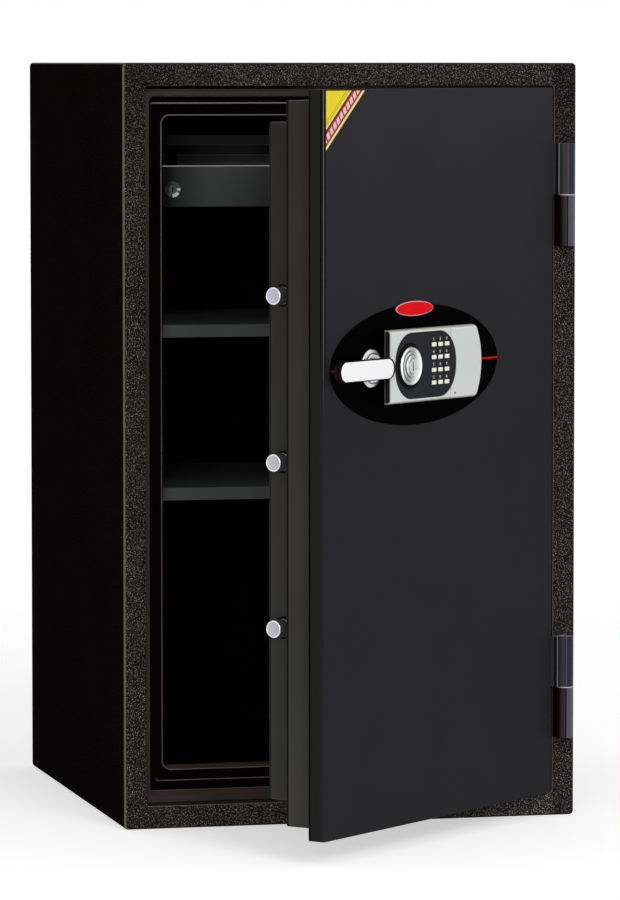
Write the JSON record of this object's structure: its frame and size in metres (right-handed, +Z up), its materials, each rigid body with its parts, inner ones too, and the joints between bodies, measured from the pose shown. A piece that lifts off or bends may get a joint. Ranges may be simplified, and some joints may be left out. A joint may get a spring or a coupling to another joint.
{
  "type": "fire safe",
  "caption": "Free-standing fire safe with a thick stepped door on outside hinges, round sliding bolts, lever handle, key cylinder and keypad, and shelves and a small drawer inside.",
  "frame": {"origin": "centre of the base underside", "axes": "+Z up, -Y towards the front, +X to the right seen from the front; the door stands open by 42.5 degrees"},
  "size_m": [0.55, 0.944, 0.9],
  "materials": {
    "case_black": "satin",
    "hammer_brown": "textured",
    "mineral_fill": "matte",
    "jamb_brown": "satin",
    "seal_rubber": "matte",
    "plain_steel": "brushed",
    "liner_dark": "satin",
    "shelf_grey": "satin",
    "drawer_grey": "satin",
    "hinge_dark": "gloss",
    "bright_chrome": "polished",
    "door_charcoal": "satin",
    "pan_brown": "satin",
    "black_plastic": "satin",
    "plate_black": "gloss",
    "trim_red": "gloss",
    "sticker_yellow": "satin",
    "silver_cover": "satin",
    "key_ivory": "satin",
    "board_green": "satin",
    "battery_grey": "gloss"
  },
  "bodies": {
    "cabinet": {"outer_shell": "case_black", "rear_panel": "case_black", "front_frame": "hammer_brown", "body_insulation": "mineral_fill", "jamb_frame": "jamb_brown", "door_seal": "seal_rubber", "strike_plate": "plain_steel", "inner_liner": "liner_dark", "upper_shelf": "shelf_grey", "lower_shelf": "shelf_grey", "shelf_supports": "liner_dark", "drawer_hood": "liner_dark", "drawer_keeper": "liner_dark", "lower_hinge_knuckles": "hinge_dark", "hinge_pins": "plain_steel", "hinge_washers": "bright_chrome"},
    "drawer": {"drawer_tray": "drawer_grey", "drawer_lock_barrel": "bright_chrome"},
    "drawer_lock": {"drawer_lock_plug": "bright_chrome"},
    "door": {"door_skin": "door_charcoal", "door_insulation": "mineral_fill", "door_middle_pan": "pan_brown", "door_inner_cover": "pan_brown", "upper_hinge_knuckles": "hinge_dark", "cover_screws": "plain_steel", "bolt_bushes": "black_plastic", "oval_plate": "plate_black", "trim_line": "trim_red", "badge": "trim_red", "corner_sticker": "sticker_yellow", "lock_base": "black_plastic", "lock_housing": "silver_cover", "keypad_panel": "plate_black", "key_bezel": "bright_chrome", "circuit_board": "board_green", "batteries": "battery_grey", "handle_rosette": "bright_chrome", "solenoid_body": "plain_steel"},
    "boltwork": {"bolt_bar": "plain_steel", "live_bolts": "bright_chrome"},
    "handle": {"handle_lever": "bright_chrome", "handle_spindle": "plain_steel", "drive_cam": "plain_steel"},
    "key_lock": {"key_plug": "bright_chrome", "key_cam": "plain_steel"},
    "plunger": {"solenoid_plunger": "plain_steel"},
    "battery_lid": {"battery_cover": "silver_cover"},
    "button_1": {"key_1": "key_ivory"},
    "button_2": {"key_2": "key_ivory"},
    "button_3": {"key_3": "key_ivory"},
    "button_4": {"key_4": "key_ivory"},
    "button_5": {"key_5": "key_ivory"},
    "button_6": {"key_6": "key_ivory"},
    "button_7": {"key_7": "key_ivory"},
    "button_8": {"key_8": "key_ivory"},
    "button_9": {"key_9": "key_ivory"},
    "button_10": {"key_10": "key_ivory"},
    "button_11": {"key_11": "key_ivory"},
    "button_12": {"key_12": "key_ivory"}
  },
  "joints": [
    {"name": "door_swing", "type": "hinge", "parent": "cabinet", "child": "door", "pos_m": [0.261, -0.3, 0.45], "axis": [0, 0, 1], "range_deg": [-42.5, 137.5]},
    {"name": "handle_turn", "type": "hinge", "parent": "door", "child": "handle", "pos_m": [-0.04497, -0.58037, 0.557], "axis": [0.6756, -0.7373, 0], "range_deg": [0, 90]},
    {"name": "bolt_throw", "type": "slide", "parent": "door", "child": "boltwork", "axis": [0.7373, 0.6756, 0], "range_m": [0, 0.02]},
    {"name": "key_turn", "type": "hinge", "parent": "door", "child": "key_lock", "pos_m": [0.00074, -0.53848, 0.557], "axis": [0.6756, -0.7373, 0], "range_deg": [-90, 0]},
    {"name": "plunger_pull", "type": "slide", "parent": "door", "child": "plunger", "axis": [0.6756, -0.7373, 0], "range_m": [-0.005, 0]},
    {"name": "battery_lid_slide", "type": "slide", "parent": "door", "child": "battery_lid", "axis": [0.7373, 0.6756, 0], "range_m": [0, 0.03]},
    {"name": "drawer_slide", "type": "slide", "parent": "cabinet", "child": "drawer", "axis": [0, -1, 0], "range_m": [0, 0.18]},
    {"name": "drawer_lock_turn", "type": "hinge", "parent": "drawer", "child": "drawer_lock", "pos_m": [-0.1912, -0.175, 0.74958], "axis": [0, -1, 0], "range_deg": [0, 90]},
    {"name": "button_1_press", "type": "slide", "parent": "door", "child": "button_1", "axis": [-0.6756, 0.7373, 0], "range_m": [0, 0.001], "stiffness_N_per_m": 200},
    {"name": "button_2_press", "type": "slide", "parent": "door", "child": "button_2", "axis": [-0.6756, 0.7373, 0], "range_m": [0, 0.001], "stiffness_N_per_m": 200},
    {"name": "button_3_press", "type": "slide", "parent": "door", "child": "button_3", "axis": [-0.6756, 0.7373, 0], "range_m": [0, 0.001], "stiffness_N_per_m": 200},
    {"name": "button_4_press", "type": "slide", "parent": "door", "child": "button_4", "axis": [-0.6756, 0.7373, 0], "range_m": [0, 0.001], "stiffness_N_per_m": 200},
    {"name": "button_5_press", "type": "slide", "parent": "door", "child": "button_5", "axis": [-0.6756, 0.7373, 0], "range_m": [0, 0.001], "stiffness_N_per_m": 200},
    {"name": "button_6_press", "type": "slide", "parent": "door", "child": "button_6", "axis": [-0.6756, 0.7373, 0], "range_m": [0, 0.001], "stiffness_N_per_m": 200},
    {"name": "button_7_press", "type": "slide", "parent": "door", "child": "button_7", "axis": [-0.6756, 0.7373, 0], "range_m": [0, 0.001], "stiffness_N_per_m": 200},
    {"name": "button_8_press", "type": "slide", "parent": "door", "child": "button_8", "axis": [-0.6756, 0.7373, 0], "range_m": [0, 0.001], "stiffness_N_per_m": 200},
    {"name": "button_9_press", "type": "slide", "parent": "door", "child": "button_9", "axis": [-0.6756, 0.7373, 0], "range_m": [0, 0.001], "stiffness_N_per_m": 200},
    {"name": "button_10_press", "type": "slide", "parent": "door", "child": "button_10", "axis": [-0.6756, 0.7373, 0], "range_m": [0, 0.001], "stiffness_N_per_m": 200},
    {"name": "button_11_press", "type": "slide", "parent": "door", "child": "button_11", "axis": [-0.6756, 0.7373, 0], "range_m": [0, 0.001], "stiffness_N_per_m": 200},
    {"name": "button_12_press", "type": "slide", "parent": "door", "child": "button_12", "axis": [-0.6756, 0.7373, 0], "range_m": [0, 0.001], "stiffness_N_per_m": 200}
  ],
  "couplings": [
    {"joint": "bolt_throw", "follows": "handle_turn", "m_per_rad": 0.012732}
  ]
}
